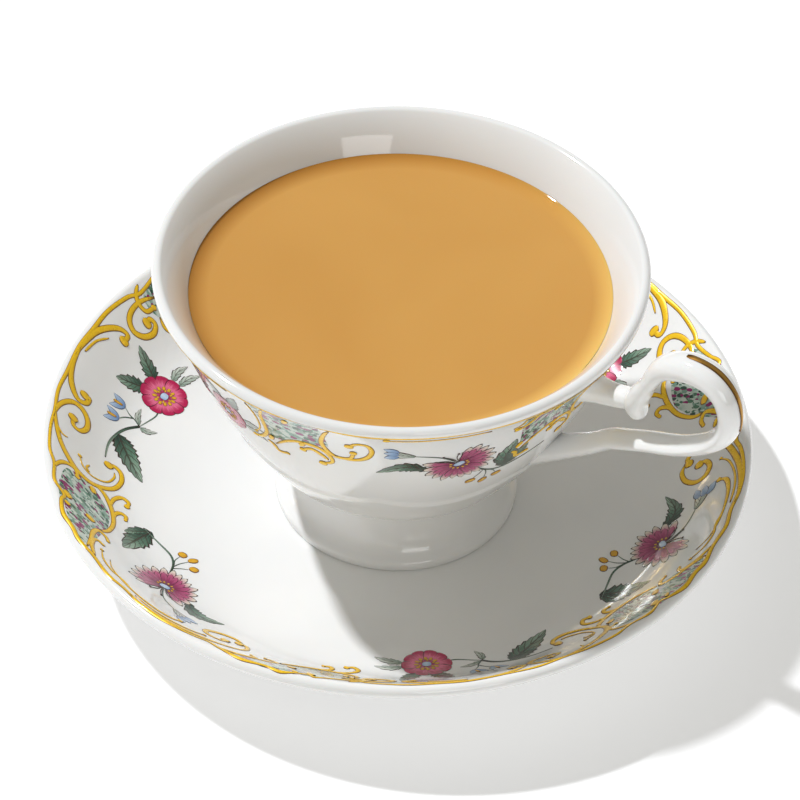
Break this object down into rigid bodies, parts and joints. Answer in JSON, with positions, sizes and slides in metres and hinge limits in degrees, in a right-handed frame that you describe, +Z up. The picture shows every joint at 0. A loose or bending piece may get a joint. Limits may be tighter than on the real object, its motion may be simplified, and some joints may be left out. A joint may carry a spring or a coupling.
{
  "type": "cup of tea with milk",
  "caption": "Footed porcelain teacup with a scroll handle, filled with milk tea, standing on its round saucer with a gilt and floral border.",
  "frame": {"origin": "on the cup's axis, in the plane that the saucer's foot ring stands on", "axes": "+Z up along the axis of the cup and the saucer, +X through the handle"},
  "size_m": [0.1562, 0.15, 0.0815],
  "materials": {
    "saucer_porcelain": "white glazed porcelain with gilt scrolls and coloured enamel flowers in the border",
    "cup_porcelain": "white glazed porcelain with gilt scrolls and coloured enamel flowers under the rim",
    "milk_tea": "opaque milk tea with a still, glossy surface"
  },
  "bodies": {
    "root": {"saucer": "saucer_porcelain", "cup": "cup_porcelain", "tea": "milk_tea"}
  },
  "joints": []
}
